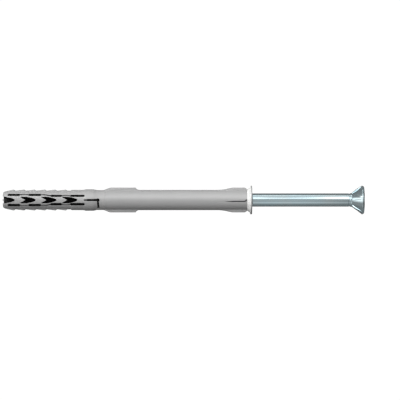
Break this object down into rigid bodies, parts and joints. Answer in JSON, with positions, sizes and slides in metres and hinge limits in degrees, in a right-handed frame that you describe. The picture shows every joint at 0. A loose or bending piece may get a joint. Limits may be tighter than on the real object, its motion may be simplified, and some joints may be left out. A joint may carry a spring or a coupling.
{
  "type": "frame plug",
  "caption": "Long shaft frame plug: slotted, barbed plastic sleeve with ribs and a flared rim, and a countersunk six-lobe screw pushed part way in",
  "frame": {"origin": "on the common axis of sleeve and screw, half way between the sleeve's tip and the face of the screw's head", "axes": "+X runs along the axis from the sleeve's tip towards the screw's head, +Y points at the upper row of barbs and ribs, and +Z points out of the arrow windows and the bent slit on the front; the plug lies on its back"},
  "size_m": [0.174, 0.0138, 0.0138],
  "materials": {
    "sleeve": "moulded grey nylon, satin",
    "screw": "zinc-plated steel, bluish and semi-bright"
  },
  "bodies": {
    "root": {"plug_sleeve": "sleeve", "countersunk_screw": "screw"}
  },
  "joints": []
}
